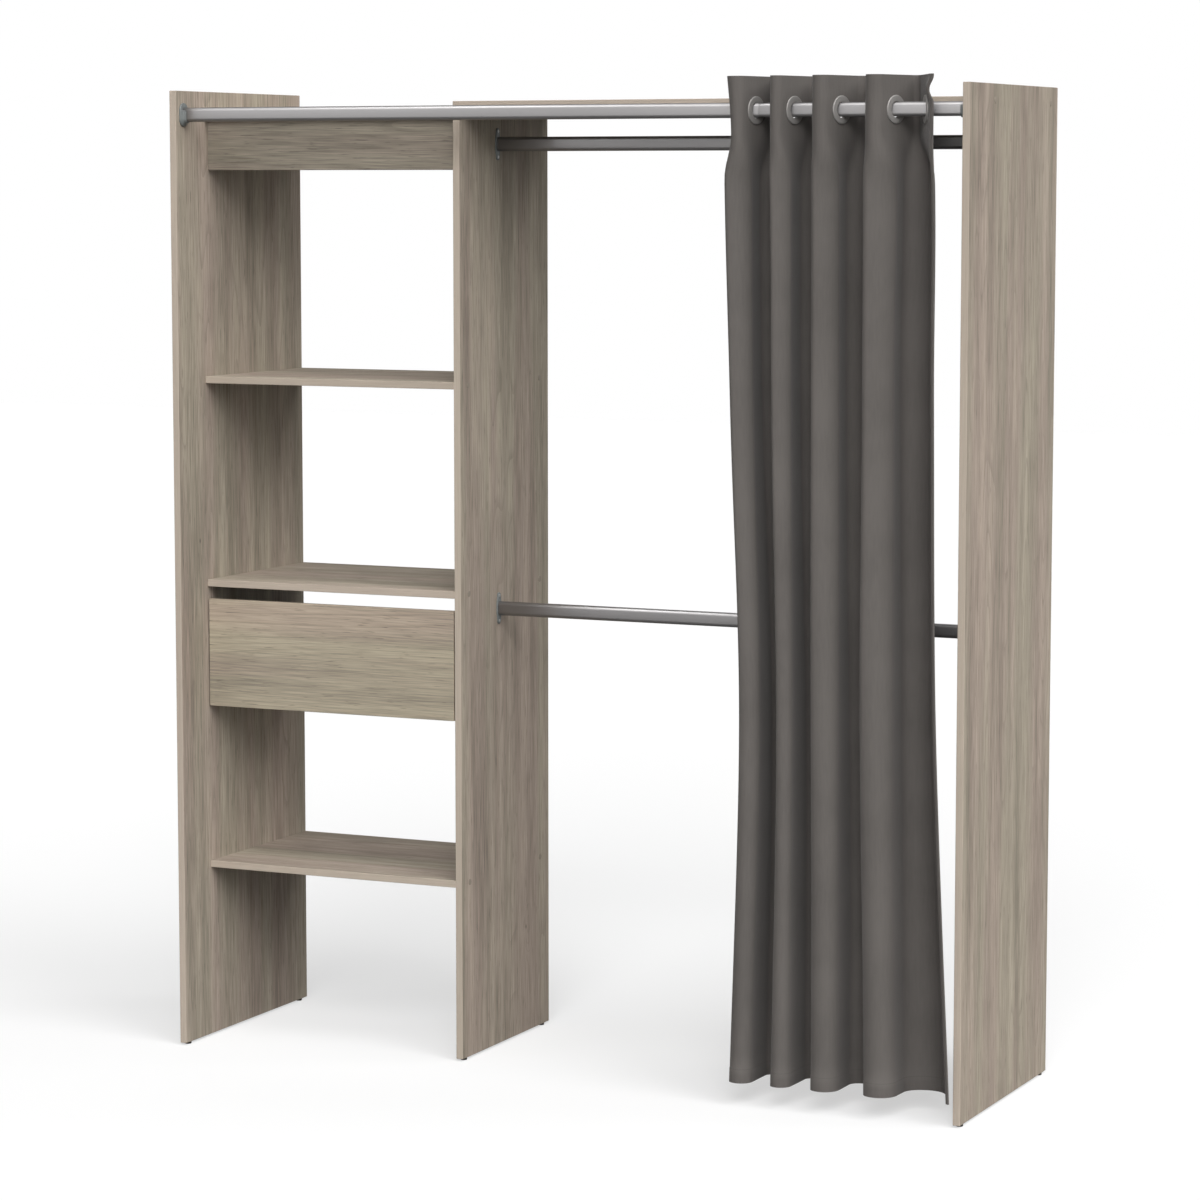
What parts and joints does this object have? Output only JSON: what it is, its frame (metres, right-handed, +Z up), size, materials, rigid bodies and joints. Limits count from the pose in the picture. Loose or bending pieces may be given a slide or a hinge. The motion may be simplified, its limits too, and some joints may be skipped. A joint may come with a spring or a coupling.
{
  "type": "clothes rack",
  "caption": "Extendable clothes rack: a shelf column with a drawer, a side panel that slides out on telescopic rods, and a curtain on eyelets.",
  "frame": {"origin": "on the floor, midway across the overall width and midway between the front and rear edges of the side panels", "axes": "+X to the right along the width, +Y to the back, +Z up"},
  "size_m": [1.768, 0.5489, 2.046],
  "materials": {
    "oak_decor_board": "matt oak decor on particle board, light greyish brown",
    "drawer_board": "matt coated drawer board",
    "screw_cap": "matt self-coloured",
    "beech_dowel": "raw fluted beech",
    "screw_steel": "zinc plated",
    "runner_steel": "white powder coat",
    "roller_nylon": "satin nylon",
    "glide_plastic": "matt black",
    "rod_metal": "satin silver",
    "rod_support_plastic": "satin dark grey",
    "eyelet_metal": "nickel plated",
    "curtain_fabric": "plain weave, dark grey"
  },
  "bodies": {
    "column": {"left_side_panel": "oak_decor_board", "middle_panel": "oak_decor_board", "column_top_panel": "oak_decor_board", "top_fascia": "oak_decor_board", "upper_shelf": "oak_decor_board", "centre_shelf": "oak_decor_board", "lower_shelf": "oak_decor_board", "column_screws": "screw_steel", "column_screw_caps": "screw_cap", "fascia_dowels": "beech_dowel", "column_glides": "glide_plastic", "left_panel_rail": "runner_steel", "right_panel_rail": "runner_steel", "panel_rail_screws": "screw_steel", "front_roller_pins": "screw_steel", "curtain_rod_outer_tube": "rod_metal", "upper_rod_outer_tube": "rod_metal", "lower_rod_outer_tube": "rod_metal", "curtain_rod_left_socket": "rod_support_plastic", "upper_rod_left_bracket": "rod_support_plastic", "lower_rod_left_bracket": "rod_support_plastic", "left_rod_support_screws": "screw_steel"},
    "sliding_side": {"right_side_panel": "oak_decor_board", "sliding_top_panel": "oak_decor_board", "sliding_top_screws": "screw_steel", "sliding_top_screw_caps": "screw_cap", "right_panel_glides": "glide_plastic", "curtain_rod_inner_tube": "rod_metal", "upper_rod_inner_tube": "rod_metal", "lower_rod_inner_tube": "rod_metal", "curtain_rod_right_socket": "rod_support_plastic", "upper_rod_right_bracket": "rod_support_plastic", "lower_rod_right_bracket": "rod_support_plastic", "right_rod_support_screws": "screw_steel"},
    "drawer": {"drawer_front": "oak_decor_board", "left_drawer_side": "drawer_board", "right_drawer_side": "drawer_board", "drawer_back": "drawer_board", "drawer_bottom": "drawer_board", "left_drawer_rail": "runner_steel", "right_drawer_rail": "runner_steel", "drawer_rail_screws": "screw_steel", "drawer_front_dowels": "beech_dowel", "drawer_back_screws": "screw_steel", "rear_roller_pins": "screw_steel"},
    "curtain": {"curtain_cloth": "curtain_fabric", "eyelet_front_rings": "eyelet_metal", "eyelet_back_rings": "eyelet_metal"},
    "left_front_roller": {"left_front_roller": "roller_nylon"},
    "right_front_roller": {"right_front_roller": "roller_nylon"},
    "left_rear_roller": {"left_rear_roller": "roller_nylon"},
    "right_rear_roller": {"right_rear_roller": "roller_nylon"}
  },
  "joints": [
    {"name": "width_slide", "type": "slide", "parent": "column", "child": "sliding_side", "axis": [1, 0, 0], "range_m": [-0.4, 0]},
    {"name": "drawer_slide", "type": "slide", "parent": "column", "child": "drawer", "axis": [0, -1, 0], "range_m": [0, 0.26]},
    {"name": "curtain_slide", "type": "slide", "parent": "sliding_side", "child": "curtain", "axis": [1, 0, 0], "range_m": [-0.8, 0], "deforming": ["curtain_cloth"]},
    {"name": "left_front_roller_spin", "type": "hinge", "parent": "column", "child": "left_front_roller", "pos_m": [-0.8628, -0.126, 0.7357], "axis": [1, 0, 0], "continuous": true},
    {"name": "left_rear_roller_spin", "type": "hinge", "parent": "drawer", "child": "left_rear_roller", "pos_m": [-0.8611, 0.2, 0.7345], "axis": [1, 0, 0], "continuous": true},
    {"name": "right_front_roller_spin", "type": "hinge", "parent": "column", "child": "right_front_roller", "pos_m": [-0.2811, -0.126, 0.7357], "axis": [1, 0, 0], "continuous": true},
    {"name": "right_rear_roller_spin", "type": "hinge", "parent": "drawer", "child": "right_rear_roller", "pos_m": [-0.2828, 0.2, 0.7345], "axis": [1, 0, 0], "continuous": true}
  ],
  "couplings": [
    {"joint": "left_front_roller_spin", "follows": "drawer_slide", "rad_per_m": 111.11},
    {"joint": "left_rear_roller_spin", "follows": "drawer_slide", "rad_per_m": 117.65},
    {"joint": "right_front_roller_spin", "follows": "drawer_slide", "rad_per_m": 111.11},
    {"joint": "right_rear_roller_spin", "follows": "drawer_slide", "rad_per_m": 117.65}
  ]
}
